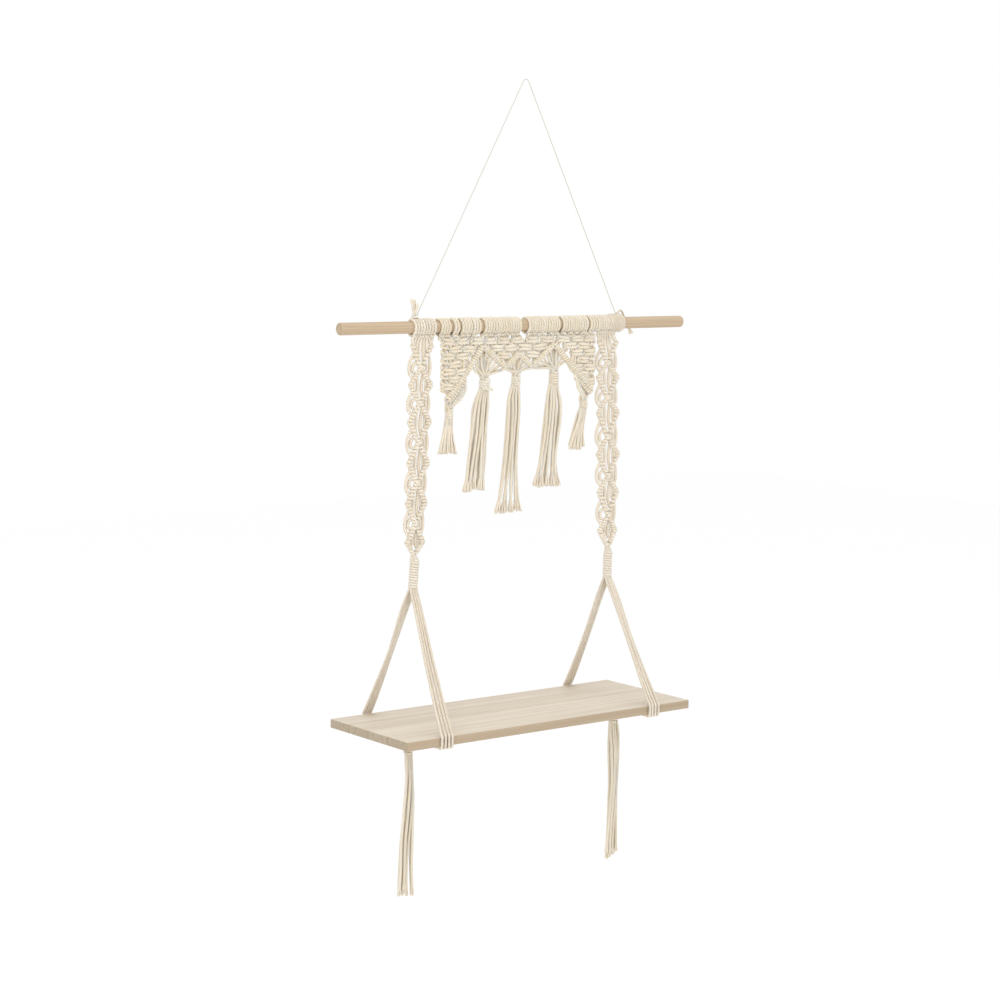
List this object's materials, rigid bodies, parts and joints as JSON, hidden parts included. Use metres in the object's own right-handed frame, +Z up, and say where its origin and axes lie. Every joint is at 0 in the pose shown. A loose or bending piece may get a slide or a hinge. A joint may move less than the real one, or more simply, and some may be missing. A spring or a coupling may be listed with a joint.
{
  "type": "macrame wall shelf with rod",
  "caption": "Knotted cotton wall shelf: a wooden board in cord slings that hang from a wooden rod, with a tasselled valance and a hanging string.",
  "frame": {"origin": "the rounded top of the string, where a nail or hook holds it", "axes": "+Z up, +X to the viewer's right along the board and the rod, +Y towards the wall"},
  "size_m": [0.72, 0.2296, 1.3511],
  "materials": {
    "cotton_cord": "undyed twisted cotton cord, matt",
    "thin_string": "thin grey-beige string, matt",
    "rod_wood": "bare sanded dowel, satin",
    "board_wood": "bare glued board of pale staves, sanded"
  },
  "bodies": {
    "root": {"rod": "rod_wood", "shelf_board": "board_wood", "strap_left": "cotton_cord", "wrap_left": "cotton_cord", "sling_left_front": "cotton_cord", "sling_left_back": "cotton_cord", "under_left": "cotton_cord", "tassel_under_left": "cotton_cord", "strap_right": "cotton_cord", "wrap_right": "cotton_cord", "sling_right_front": "cotton_cord", "sling_right_back": "cotton_cord", "under_right": "cotton_cord", "tassel_under_right": "cotton_cord", "valance": "cotton_cord", "tassel_1": "cotton_cord", "tassel_2": "cotton_cord", "tassel_3": "cotton_cord", "tassel_4": "cotton_cord", "tassel_5": "cotton_cord", "hang_string": "thin_string", "tie_knot_left": "cotton_cord", "tie_end_right": "cotton_cord"}
  },
  "joints": []
}
